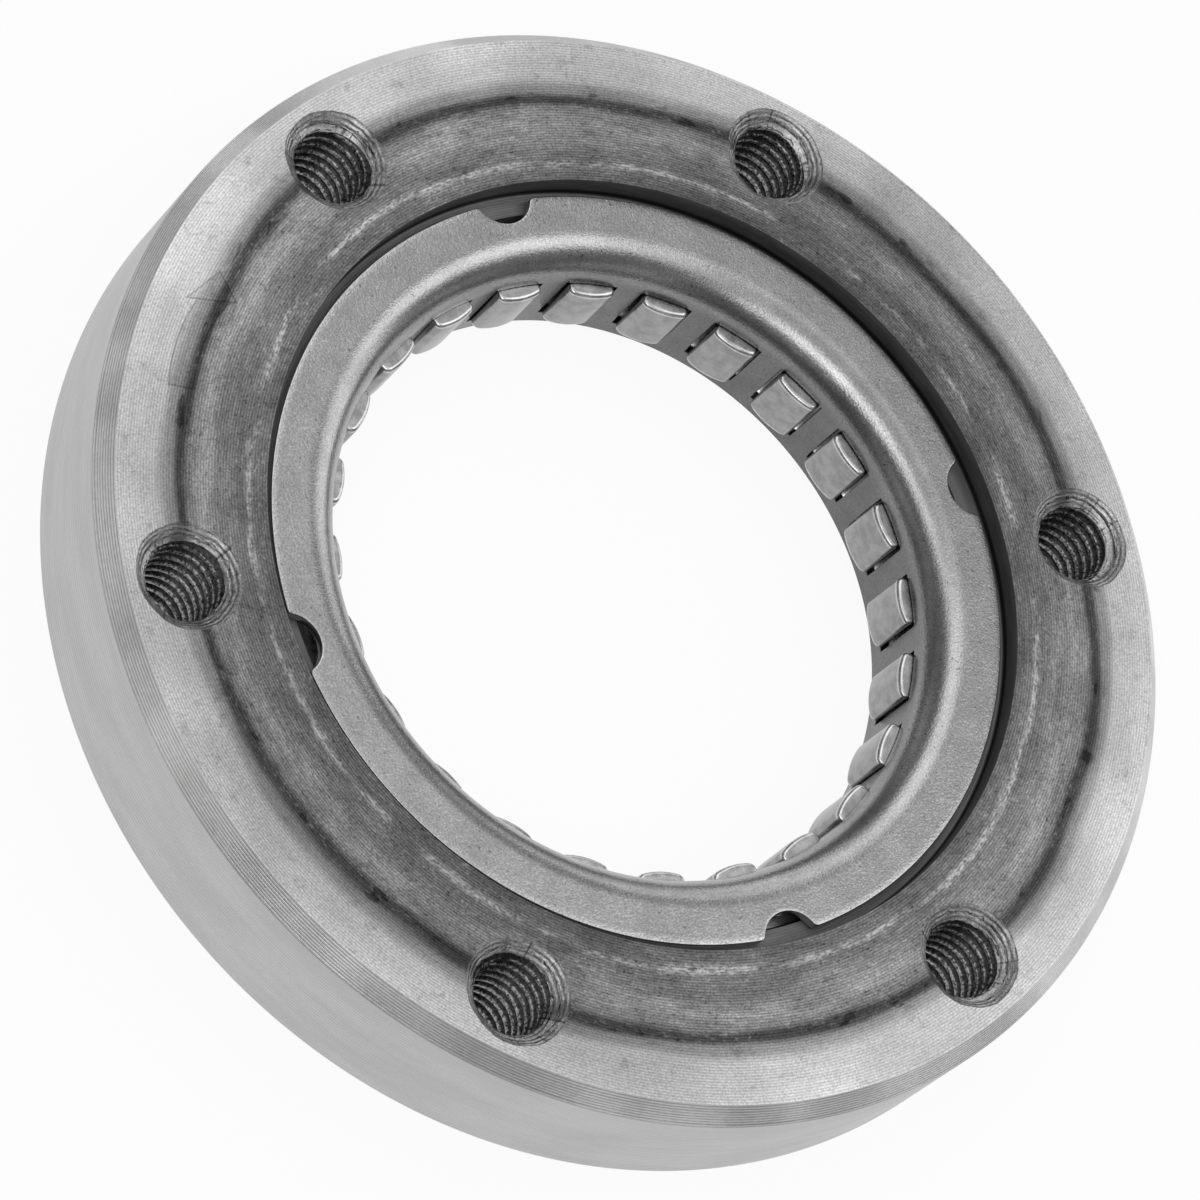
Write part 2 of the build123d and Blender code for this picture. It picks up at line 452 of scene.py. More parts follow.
class Look(Nodes):
    """One material. Lengths inside a material are in mm."""

    def __init__(self, name):
        self.material = bpy.data.materials.new(name)
        self.material.use_nodes = True
        super().__init__(self.material.node_tree)
        self.shader = self.nodes["Principled BSDF"]
        scaled = self.add("ShaderNodeVectorMath", operation="SCALE")
        self.links.new(self.add("ShaderNodeTexCoord").outputs["Object"], scaled.inputs[0])
        scaled.inputs["Scale"].default_value = 1 / MM
        self.place = scaled.outputs[0]
        split = self.add("ShaderNodeSeparateXYZ")
        self.links.new(self.place, split.inputs[0])
        self.x, self.y, self.z = split.outputs
        self.radius = self.length(self.x, self.y)
        self.angle = self.math("ARCTAN2", self.y, self.x)
        fold = self.math("WRAP", self.angle, pi / BOLT_COUNT, -pi / BOLT_COUNT)
        out = self.minus(self.times(self.radius, self.math("COSINE", fold)), BOLT_CIRCLE / MM)
        across = self.times(self.radius, self.math("SINE", fold))
        self.hole_distance = self.length(out, across)
        self.hole_angle = self.math("ARCTAN2", across, out)

    def vector(self, x, y, z):
        node = self.add("ShaderNodeCombineXYZ")
        for socket, value in zip(node.inputs, (x, y, z)):
            self.plug(socket, value)
        return node.outputs[0]

    def noise(self, place, scale, detail, roughness):
        """Noise about 0.5, of a 3-D place or of a single number."""
        node = self.add("ShaderNodeTexNoise")
        single = place.type == "VALUE"
        node.noise_dimensions = "1D" if single else "3D"
        self.links.new(place, node.inputs["W" if single else "Vector"])
        node.inputs["Scale"].default_value = scale
        node.inputs["Detail"].default_value = detail
        node.inputs["Roughness"].default_value = roughness
        return node.outputs[0]

    def curve(self, value, low, high, stops):
        """Grey level along low..high through (place, grey) stops."""
        node = self.add("ShaderNodeValToRGB")
        self.plug(node.inputs[0], self.spread(value, low, high, smooth=False))
        ramp = node.color_ramp
        ramp.interpolation = "EASE"
        while len(ramp.elements) < len(stops):
            ramp.elements.new(0.5)
        for element, (stop, grey) in zip(ramp.elements, stops):
            element.position = (stop - low) / (high - low)
            element.color = (grey, grey, grey, 1)
        return node.outputs[0]

    def hill(self, value, centre, width):
        """1 at the centre, falling smoothly to 0 at width away."""
        away = self.math("ABSOLUTE", self.minus(value, centre))
        return self.spread(away, 0.0, width, 1.0, 0.0)

    def blend(self, factor, first, second):
        """Mixes two numbers."""
        node = self.add("ShaderNodeMix", data_type="FLOAT")
        self.plug(node.inputs[0], factor)
        self.plug(node.inputs[2], first)
        self.plug(node.inputs[3], second)
        return node.outputs[0]

    def swirl(self, angle, reach, across, density):
        """Place that runs slowly with an angle and fast with a length across it."""
        return self.vector(
            self.times(self.math("COSINE", angle), reach),
            self.times(self.math("SINE", angle), reach),
            self.times(across, density),
        )

    def around(self, density, reach):
        """Place for marks that are drawn out along the turning."""
        return self.swirl(self.angle, reach, self.plus(self.radius, self.z), density)

    def around_hole(self, density, reach):
        """Place for marks that run round the nearest hole."""
        return self.swirl(self.hole_angle, reach, self.minus(self.hole_distance, self.z), density)

    def grey(self, level):
        """Base colour from one grey level."""
        node = self.add("ShaderNodeCombineColor")
        for socket in node.inputs[:3]:
            self.plug(socket, level)
        self.links.new(node.outputs[0], self.shader.inputs["Base Color"])

    def finish(self, level, metallic, roughness, height, depth):
        """Sets the surface: grey level, metal share, roughness, and a bump of a depth in mm."""
        self.grey(level)
        self.plug(self.shader.inputs["Metallic"], metallic)
        self.plug(self.shader.inputs["Roughness"], roughness)
        bump = self.add("ShaderNodeBump")
        bump.inputs["Distance"].default_value = depth * MM
        self.links.new(height, bump.inputs["Height"])
        self.links.new(bump.outputs[0], self.shader.inputs["Normal"])
        return self.material


def turned_grooves(look, value, pitch):
    """Fine turning grooves across a length in mm, a little uneven in their pitch."""
    drift = look.times(look.noise(value, 1.3, 2.0, 0.5), GROOVE_WANDER * tau)
    wave = look.math("SINE", look.plus(look.times(value, tau / pitch), drift))
    return look.spread(wave, -1.0, 1.0)


def turn_grain(look, share):
    """Draws reflections out by a share, a quarter turn from the grooves, as a turned surface does."""
    tangent = look.add("ShaderNodeTangent", direction_type="RADIAL", axis="Z")
    look.links.new(tangent.outputs[0], look.shader.inputs["Tangent"])
    look.shader.inputs["Anisotropic"].default_value = share
    look.shader.inputs["Anisotropic Rotation"].default_value = 0.25


def flat_place(radius, azimuth):
    """Place on the face, in mm, from a radius and an azimuth in degrees."""
    return radius * directions(radians(azimuth))


def inside_line(look, start, end):
    """Distance in mm to the left of the line from start to end."""
    along = (end - start) / np.linalg.norm(end - start)
    first = look.times(look.minus(look.x, start[0]), -along[1])
    second = look.times(look.minus(look.y, start[1]), along[0])
    return look.plus(first, second)


def arrow_mark(look):
    """Depth in mm inside the curved arrow that shows the driving direction."""
    bend = flat_place(*ARROW_BEND)
    reach = look.length(look.minus(look.x, bend[0]), look.minus(look.y, bend[1]))
    off_line = look.math("ABSOLUTE", look.minus(reach, ARROW_BEND_RADIUS))
    barb, tip, inner_barb = (flat_place(*point) for point in ARROW_HEAD)
    back = inside_line(look, barb, inner_barb)
    tail = inside_line(look, bend, flat_place(*ARROW_TAIL))
    shaft = look.least(look.minus(ARROW_SHAFT / 2, off_line), look.times(tail, -1), look.times(back, -1))
    head = look.least(back, inside_line(look, inner_barb, tip), inside_line(look, tip, barb))
    return look.most(shaft, head)


def face_look():
    """Turned front face: bright outer band, a painted dark reflection ring on the hole circle, stained and
    worn inner band.
    """
    look = Look("race_face")
    radius = look.radius
    wander = look.noise(look.around(0.25, 2.2), 1.0, 2.0, 0.5)
    shifted = look.plus(radius, look.spread(wander, 0.3, 0.7, -0.3, 0.3))
    inner = look.spread(radius, *INNER_BAND, 1.0, 0.0)
    grooves = turned_grooves(look, radius, FACE_GROOVE)
    grain = look.noise(look.place, 4.8, 2.0, 0.7)
    patches = look.noise(look.around(0.5, 6.0), 1.0, 4.0, 0.6)
    streaks = look.noise(look.around(2.6, 22.0), 1.0, 4.0, 0.7)
    flecks = look.noise(look.around(4.5, 75.0), 1.0, 2.0, 0.6)
    sectors = look.noise(look.around(0.05, 2.6), 1.0, 2.0, 0.6)
    smudges = look.noise(look.place, 0.55, 5.0, 0.75)
    reflection_blots = look.noise(look.around(0.9, 14.0), 1.0, 2.0, 0.5)

    plain = look.times(
        look.spread(patches, 0.3, 0.7, 0.93, 1.05),
        look.spread(sectors, 0.35, 0.65, 0.84, 1.08),
    )
    stained = look.times(
        look.spread(streaks, 0.3, 0.7, 0.8, 1.22),
        look.spread(patches, 0.34, 0.66, 0.84, 1.16),
    )
    outer_and_inner = (
        (plain, stained),
        (look.spread(grooves, 0.0, 1.0, 0.84, 1.08), look.spread(grooves, 0.0, 1.0, 0.77, 1.12)),
        (look.spread(grain, 0.24, 0.76, 0.72, 1.18), look.spread(grain, 0.24, 0.76, 0.64, 1.32)),
    )
    dark = look.times(look.spread(flecks, 0.4, 0.3), look.spread(patches, 0.6, 0.45), inner)
    level = look.times(
        # The tone curve holds the painted dark reflection ring on the hole circle.
        look.curve(shifted, *FACE_REACH, FACE_TONES),
        *(look.blend(inner, *pair) for pair in outer_and_inner),
        look.spread(smudges, 0.57, 0.68, 1.0, 0.74),
        look.shade(dark, 0.45),
    )

    bright = look.times(look.spread(flecks, 0.58, 0.66), look.spread(patches, 0.42, 0.58, 0.25, 1.0), inner)
    worn = look.times(
        look.hill(shifted, WORN_RING, WORN_WIDTH),
        look.spread(patches, 0.42, 0.56),
        look.spread(flecks, 0.4, 0.56, 0.1, 1.0),
    )
    level = look.plus(level, look.times(bright, 0.13), look.times(worn, 0.3))

    arrow = arrow_mark(look)
    level = look.times(
        level,
        # Painted dark reflection: blots along the ring on the hole circle.
        look.shade(look.times(look.spread(reflection_blots, 0.6, 0.68), look.hill(radius, REFLECTION_RING, REFLECTION_WIDTH)), 0.4),
        look.spread(arrow, -0.04, 0.04, 1.0, 0.88),
        look.shade(look.hill(arrow, 0.0, ARROW_LINE), 0.62),
    )
    turn_grain(look, 0.8)
    etched = look.spread(arrow, -ARROW_EDGE, ARROW_EDGE, 0.0, 2.0)
    height = look.minus(look.plus(look.times(grooves, 0.5), look.times(grain, 0.9)), etched)
    return look.finish(look.least(level, 1.0), 1.0, look.spread(streaks, 0.3, 0.7, 0.4, 0.48), height, 0.01)


def turned_look(name, greys, patch, roughness, groove, depth, across):
    """Turned steel between two grey levels, with fine lines round the axis and darker patches round it, a
    painted reflection.
    The reflections are drawn out across the lines by a share."""
    look = Look(name)
    slope = atan2(FRONT_CHAMFER_RADIAL, FRONT_CHAMFER_AXIAL)
    along = look.minus(look.times(look.z, cos(slope)), look.times(look.radius, sin(slope)))
    lines = turned_grooves(look, along, groove)
    streaks = look.noise(look.around(1.1, 6.0), 1.0, 4.0, 0.6)
    grain = look.noise(look.place, 2.4, 3.0, 0.6)
    patches = look.noise(look.around(0.3, 4.2), 1.0, 2.0, 0.5)
    mixed = look.plus(look.times(lines, 0.3), look.times(streaks, 0.35), look.times(grain, 0.35))
    # The patches darken the grey round the axis as a painted reflection.
    level = look.times(look.spread(mixed, 0.34, 0.66, *greys), look.spread(patches, 0.36, 0.64, patch, 1.0))
    uneven = look.spread(streaks, 0.3, 0.7, roughness - 0.05, roughness + 0.06)
    turn_grain(look, across)
    return look.finish(level, 1.0, uneven, lines, depth)


def bore_look():
    """Counterbore, ledge and race bore: oily steel, with painted shade that darkens the wall down in the
    recess.
    """
    look = Look("race_bore")
    lines = turned_grooves(look, look.plus(look.z, look.radius), BORE_GROOVE)
    streaks = look.noise(look.around(1.4, 8.0), 1.0, 4.0, 0.6)
    # Painted shade: the wall is dark, and darker still down by the flange.
    wall = look.spread(look.z, *BORE_SHADE_TO_LIGHT, 0.012, 0.095)
    level = look.times(
        look.blend(look.spread(look.radius, *LEDGE_TO_WALL), 0.16, wall),
        look.spread(streaks, 0.3, 0.7, 0.8, 1.2),
        look.spread(lines, 0.0, 1.0, 0.88, 1.1),
    )
    return look.finish(level, 0.35, look.spread(streaks, 0.3, 0.7, 0.4, 0.55), lines, 0.008)


def sink_look():
    """Countersinks: drilled steel with torn rings, dark cracks and nicks round each hole, and a painted dark
    reflection where the hole circle's ring crosses them.
    """
    look = Look("race_sink")
    warped = look.plus(look.hole_distance, look.times(look.noise(look.place, 1.1, 3.0, 0.6), 0.7))
    rings = look.noise(warped, 6.0, 3.0, 0.8)
    cracks = look.math("ABSOLUTE", look.minus(look.noise(warped, 3.4, 1.0, 0.5), 0.5))
    torn = look.spread(look.noise(look.place, 1.6, 2.0, 0.5), 0.42, 0.56)
    crack = look.times(look.spread(cracks, 0.0, 0.035, 1.0, 0.0), torn)
    nicks = look.noise(look.around_hole(1.1, 13.0), 1.0, 2.0, 0.6)
    grain = look.noise(look.place, 4.5, 3.0, 0.7)
    level = look.times(
        look.spread(rings, 0.36, 0.6, 0.31, 0.66),
        look.spread(grain, 0.25, 0.75, 0.6, 1.35),
        look.shade(crack, 0.15),
        look.spread(nicks, 0.62, 0.7, 1.0, 0.35),
        # Painted dark reflection: the dark ring of the hole circle carried into the countersink.
        look.shade(look.hill(look.radius, SINK_REFLECTION_RING, SINK_REFLECTION_WIDTH), 0.5),
    )
    return look.finish(level, 1.0, look.spread(grain, 0.3, 0.7, 0.3, 0.42), look.minus(rings, crack), 0.03)


def thread_look():
    """Tapped threads: dark oily steel, with painted shade in the grooves and painted light on the torn
    crests.
    """
    look = Look("race_thread")
    grain = look.noise(look.place, 3.5, 4.0, 0.65)
    # Painted light on the crests and painted shade in the grooves, by distance from the hole's axis.
    crest = look.spread(look.hole_distance, *CREST_TO_GROOVE, 1.0, 0.0)
    bright = look.spread(grain, 0.4, 0.64, 0.03, 0.38)
    dark = look.spread(grain, 0.3, 0.7, 0.01, 0.06)
    level = look.blend(crest, dark, bright)
    return look.finish(level, 1.0, look.spread(grain, 0.3, 0.7, 0.2, 0.36), grain, 0.04)


def cage_look():
    """Pressed and shot-blasted steel with a fine matt grain, with painted shade that darkens the bend,
    dimming its highlight, and the wall below.
    """
    look = Look("cage_steel")
    grain = look.noise(look.place, 5.0, 2.0, 0.65)
    clouds = look.noise(look.place, 0.35, 3.0, 0.5)
    specks = look.noise(look.place, 2.2, 2.0, 0.6)
    scratches = look.noise(look.vector(look.x, look.times(look.y, 4.0), look.z), 0.8, 2.0, 0.6)
    peel = look.noise(look.place, 2.4, 1.0, 0.5)
    level = look.times(
        look.spread(grain, 0.28, 0.72, 0.46, 0.6),
        look.spread(clouds, 0.3, 0.7, 0.92, 1.06),
        look.spread(specks, 0.66, 0.74, 1.0, 0.55),
        look.spread(scratches, 0.64, 0.72, 1.0, 1.16),
        # Painted shade on the bend that dims its highlight.
        look.spread(look.radius, *ROLL_SHADE_TO_LIGHT, 0.76, 1.0),
        # Painted shade on the wall, darker lower down.
        look.spread(look.z, *WALL_SHADE_TO_LIGHT, 0.38, 1.0),
    )
    return look.finish(level, 1.0, 0.25, look.plus(look.times(grain, 0.8), look.times(peel, 0.3)), 0.028)


def sprag_look():
    """Drawn and tumbled steel with light handling marks, lighter at its ends by a painted highlight."""
    look = Look("sprag_steel")
    clouds = look.noise(look.place, 0.9, 4.0, 0.6)
    specks = look.noise(look.place, 4.0, 2.0, 0.5)
    from_middle = look.math("ABSOLUTE", look.minus(look.z, SPRAG_MIDDLE / MM))
    highlight_start, highlight_full = (SPRAG_HALF / MM - gap for gap in END_HIGHLIGHT_FROM_END)
    level = look.times(
        look.spread(clouds, 0.3, 0.7, 0.25, 0.36),
        look.spread(specks, 0.68, 0.78, 1.0, 0.7),
        # Painted highlight: both ends lighter.
        look.spread(from_middle, highlight_start, highlight_full, 1.0, 2.0),
    )
    return look.finish(level, 1.0, look.spread(clouds, 0.3, 0.7, 0.22, 0.3), clouds, 0.004)


def hidden_steel_look(name, grey):
    """Steel of the pieces behind the inner cage."""
    look = Look(name)
    grain = look.noise(look.place, 4.5, 3.0, 0.6)
    level = look.spread(grain, 0.28, 0.72, grey * 0.85, grey * 1.15)
    return look.finish(level, 1.0, 0.36, grain, 0.02)


RACE_LOOKS = (
    face_look(),
    turned_look("race_turned", (0.48, 0.82), patch=0.7, roughness=0.34, groove=0.25, depth=0.03, across=0.8),
    thread_look(),
    turned_look("race_rim", (0.48, 0.57), patch=0.94, roughness=0.42, groove=0.3, depth=0.003, across=0.3),
    sink_look(),
    bore_look(),
)
FACE, TURNED, THREAD, RIM, SINK, BORE = range(len(RACE_LOOKS))
CAGE_STEEL = cage_look()
SPRAG_STEEL = sprag_look()
OUTER_CAGE_STEEL = hidden_steel_look("outer_cage_steel", 0.36)
RIBBON_STEEL = hidden_steel_look("ribbon_steel", 0.55)


# Outer race

ARC_STEPS = 48
EDGE_STEPS = 12
FACE_STEPS = 6
FACE_CROWDING = 1.3
BACK_SINK_ROWS = 7
FRONT_SINK_ROWS = 22
SECTOR_HALF = pi / BOLT_COUNT
COLUMNS = np.arange(BOLT_COUNT * ARC_STEPS) * tau / (BOLT_COUNT * ARC_STEPS) - SECTOR_HALF


def sector_border(inner, outer):
    """Points round one hole's share of a face, in the hole's own frame, x outwards."""
    arc = np.linspace(-SECTOR_HALF, SECTOR_HALF, ARC_STEPS + 1)
    edge = np.linspace(inner, outer, EDGE_STEPS + 1)
    polar = [(inner, a) for a in arc[:-1]]
    polar += [(r, SECTOR_HALF) for r in edge[:-1]]
    polar += [(outer, a) for a in arc[:0:-1]]
    polar += [(r, -SECTOR_HALF) for r in edge[:0:-1]]
    return np.array([(r * cos(a) - BOLT_CIRCLE, r * sin(a)) for r, a in polar])


def thread_radius(angles, height):
    """Radius of the thread's surface: flat crests, 60 degree flanks and flat roots."""
    turn = (height / THREAD_PITCH - angles / tau) % 1.0
    away = np.abs(turn - 0.5)
    rise = (0.5 - THREAD_CREST / 2 - away) / (0.5 - THREAD_CREST / 2 - THREAD_ROOT / 2)
    return THREAD_MINOR + (THREAD_MAJOR - THREAD_MINOR) * np.clip(rise, 0, 1)


def tapped_hole(shell, turn, seed):
    """Both countersinks and the thread of one hole, and the faces round its two mouths."""
    waves = np.random.default_rng(seed).uniform(0, tau, len(BURR_WAVES))
    front = sector_border(COUNTERBORE + EDGE_BREAK, RACE_RADIUS - FRONT_CHAMFER_RADIAL)
    back = sector_border(RACE_BORE + BORE_LEAD_IN, RACE_RADIUS - BACK_CHAMFER)
    angles = np.arctan2(front[:, 1], front[:, 0])
    seam = int(np.argmin(angles))
    burr = sum(size * np.sin(count * angles + wave) for (count, size), wave in zip(BURR_WAVES, waves))

    def place_row(local, height):
        """Adds a row that is given in the hole's own frame."""
        return shell.level(spun(local + (BOLT_CIRCLE, 0), turn), height)

    def sink_radius(height):
        """Radius of the front countersink at one height, with marks that fade out at its rim."""
        depth = RACE_FRONT - height
        rings = RING_DEPTH * np.sin(tau * depth / RING_PITCH + RING_WANDER * np.sin(angles + waves[2]))
        nicks = NICK_DEPTH * np.sin(NICK_COUNT * angles + waves[3] + NICK_LEAN * depth)
        return FRONT_SINK - depth + burr + (rings + nicks) * min(1, depth / MARKS_START)

    def wall(height):
        """Row on the hole's wall: the thread, or a countersink where that is wider."""
        height = np.broadcast_to(height, angles.shape)
        radius = np.maximum(thread_radius(angles, height), BACK_SINK - (height - RACE_BACK))
        if np.ptp(height) == 0:
            radius = np.maximum(radius, sink_radius(float(height[0])))
        return place_row(directions(angles) * radius[:, None], height)

    def mouth(border, rim, height, look):
        """Rows from the rim of a hole to the border of its sector, closer together at the rim."""
        shares = np.linspace(0, 1, FACE_STEPS + 1) ** FACE_CROWDING
        shell.strips([place_row(rim + (border - rim) * share, height) for share in shares], look)

    front_foot = RACE_FRONT - (FRONT_SINK - THREAD_MINOR) - FRONT_RUN_OUT
    back_foot = RACE_BACK + BACK_SINK - THREAD_MINOR + BACK_RUN_OUT
    shell.strips([wall(level) for level in np.linspace(RACE_BACK, back_foot, BACK_SINK_ROWS)], SINK)
    pitches = range(int(back_foot / THREAD_PITCH) - 2, int(front_foot / THREAD_PITCH) + 3)
    turns = [pitch + share + angles / tau for pitch in pitches for share in THREAD_ROWS]
    helix = [wall(np.clip(row * THREAD_PITCH, back_foot, front_foot)) for row in turns]
    one_turn = len(THREAD_ROWS)
    shell.strips(helix, THREAD, skip={seam})
    for k in range(len(helix) - one_turn - 1):
        ends = np.array([helix[k + one_turn][seam], helix[k + one_turn + 1][seam]])
        starts = np.array([helix[k][seam + 1], helix[k + 1][seam + 1]])
        shell.strip(ends, starts, THREAD, closed=False)
    shell.strips([wall(level) for level in np.linspace(front_foot, RACE_FRONT, FRONT_SINK_ROWS)], SINK)
    mouth(front, directions(angles) * (FRONT_SINK + burr)[:, None], RACE_FRONT, FACE)
    mouth(back, directions(angles) * BACK_SINK, RACE_BACK, TURNED)


def outer_race():
    """Turned ring: the bore side, the rim side, and one sector of both faces round each hole."""
    shell = Shell()
    bore_side = round_corners([
        (COUNTERBORE + EDGE_BREAK, RACE_FRONT, 0),
        (COUNTERBORE, RACE_FRONT - EDGE_BREAK, 0),
        (COUNTERBORE, LEDGE_HEIGHT, LEDGE_FILLET),
        (RACE_BORE, LEDGE_HEIGHT, LEDGE_ROUND),
        (RACE_BORE, RACE_BACK + BORE_LEAD_IN, 0),
        (RACE_BORE + BORE_LEAD_IN, RACE_BACK, 0),
    ])
    rim_side = round_corners([
        (RACE_RADIUS - BACK_CHAMFER, RACE_BACK, 0),
        (RACE_RADIUS, RACE_BACK + BACK_CHAMFER, BACK_CHAMFER_ROUND),
        (RACE_RADIUS, RACE_FRONT - FRONT_CHAMFER_AXIAL, FRONT_CHAMFER_ROUND),
        (RACE_RADIUS - FRONT_CHAMFER_RADIAL, RACE_FRONT, 0),
    ])
    rows = [shell.ring(radius, height, COLUMNS) for radius, height in bore_side]
    shell.strips(rows[:2], FACE)
    shell.strips(rows[1:], BORE)
    rows = [shell.ring(radius, height, COLUMNS) for radius, height in rim_side]
    shell.strips(rows[:-1], RIM)
    shell.strips(rows[-2:], TURNED)
    for k in range(BOLT_COUNT):
        tapped_hole(shell, k * tau / BOLT_COUNT, FIRST_SEED + k)
    piece = shell.build("clutch_outer_race", RACE_LOOKS)
    finish_piece(piece, "outer_race", "outer_race")


# Rings with one window for each sprag

WINDOW_STEPS = 8
LAND_STEPS = 4


def window_angles(radius, width):
    """Angles of a wall's columns: even steps over each window and over each land between windows."""
    half = asin(width / 2 / radius)
    one = list(np.linspace(-half, half, WINDOW_STEPS + 1)[:-1])
    one += list(np.linspace(half, SPRAG_PITCH - half, LAND_STEPS + 1)[:-1])
    return np.array([SPRAG_TURN + k * SPRAG_PITCH + a for k in range(SPRAG_COUNT) for a in one])


def windowed_wall(shell, inner, outer, width, levels):
    """Wall with windows. Levels run up from the lowest row and hold both ends of the windows.
    Gives the angles and the rows of the inner side, then those of the outer side."""
    columns = WINDOW_STEPS + LAND_STEPS
    open_columns = {k * columns + i for k in range(SPRAG_COUNT) for i in range(WINDOW_STEPS)}
    lands = set(range(SPRAG_COUNT * columns)) - open_columns
    bottom = levels.index(WINDOW_LOW)
    top = levels.index(WINDOW_HIGH)
    sides = []
    for radius in (inner, outer):
        angles = window_angles(radius, width)
        rows = [shell.ring(radius, level, angles) for level in levels]
        for k, (low, high) in enumerate(zip(rows, rows[1:])):
            shell.strip(low, high, skip=open_columns if bottom <= k < top else ())
        sides.append((angles, rows))
    (_, in_rows), (_, out_rows) = sides
    for k in (bottom, top):
        shell.strip(in_rows[k], out_rows[k], skip=lands)
    for k in range(SPRAG_COUNT):
        for side in (k * columns, k * columns + WINDOW_STEPS):
            inner_edge = [row[side] for row in in_rows[bottom:top + 1]]
            outer_edge = [row[side] for row in out_rows[bottom:top + 1]]
            shell.strip(inner_edge, outer_edge, closed=False)
    return sides


def plain_ring(node, wall, width, material):
    """Windowed ring with flat ends, as high and as wide as its CAD node."""
    shell = Shell()
    low, high = heights(node)
    outside = outer_radius(node)
    levels = [low, WINDOW_LOW, WINDOW_MIDDLE, WINDOW_HIGH, high]
    (_, in_rows), (_, out_rows) = windowed_wall(shell, outside - wall, outside, width, levels)
    shell.strip(in_rows[0], out_rows[0])
    shell.strip(in_rows[-1], out_rows[-1])
    return shell.build("clutch_" + node, [material])


def outer_cage():
    """Ring near the race bore, with windows for the sprag heads."""
    piece = plain_ring("outer_cage", OUTER_CAGE_WALL, OUTER_WINDOW, OUTER_CAGE_STEEL)
    break_edges(piece, OUTER_CAGE_EDGE)
    finish_piece(piece, "outer_cage", "outer_cage")


def ribbon_spring():
    """Thin strip at the sprag waists. It rides with the inner cage."""
    piece = plain_ring("ribbon_spring", RIBBON_WALL, RIBBON_WINDOW, RIBBON_STEEL)
    break_edges(piece, RIBBON_EDGE, 1)
    finish_piece(piece, "inner_cage", "ribbon_spring")


# Inner cage

NOTCH_STEPS = 32
LIP_STEPS = 8
RIM_STEPS = 72
ROLL_STEPS = 18
BEND_STEPS = 12
PLATE_STEPS = 5
FLANGE_EDGE_STEPS = 4


def flange_border():
    """Outline of a quarter of the flange: one notch, its lip, the round rim, and the next notch's lip.
    Gives the points and their inward directions."""
    lip_centre = FLANGE_RADIUS - NOTCH_LIP
    notch_centre = FLANGE_RADIUS - NOTCH_DEPTH + NOTCH_RADIUS
    reach = NOTCH_RADIUS + NOTCH_LIP
    spread = acos((lip_centre**2 + notch_centre**2 - reach**2) / (2 * lip_centre * notch_centre))
    centre = lip_centre * directions(spread)
    notch = np.array([notch_centre, 0])
    to_notch = (notch - centre) / reach
    notch_end = atan2(-to_notch[1], -to_notch[0])
    lip_start = atan2(to_notch[1], to_notch[0])
    quarter = tau / NOTCH_COUNT
    round_notch = directions(np.linspace(tau - notch_end, notch_end, NOTCH_STEPS + 1))
    round_lip = directions(np.linspace(lip_start, spread, LIP_STEPS + 1)[1:])
    round_rim = directions(np.linspace(spread, quarter - spread, RIM_STEPS + 1)[1:])
    next_lip = spun(round_lip[::-1] * (1, -1), quarter)
    points = [
        notch + NOTCH_RADIUS * round_notch,
        centre + NOTCH_LIP * round_lip,
        FLANGE_RADIUS * round_rim,
        spun(centre * (1, -1), quarter) + NOTCH_LIP * next_lip,
    ]
    return np.concatenate(points), np.concatenate([round_notch, -round_lip, -round_rim, -next_lip])


def full_border():
    """The flange's outline all round, as points and inward directions in order of angle."""
    points, inward = flange_border()
    turns = [NOTCH_TURN + k * tau / NOTCH_COUNT for k in range(NOTCH_COUNT)]
    return np.concatenate([spun(points, t) for t in turns]), np.concatenate([spun(inward, t) for t in turns])


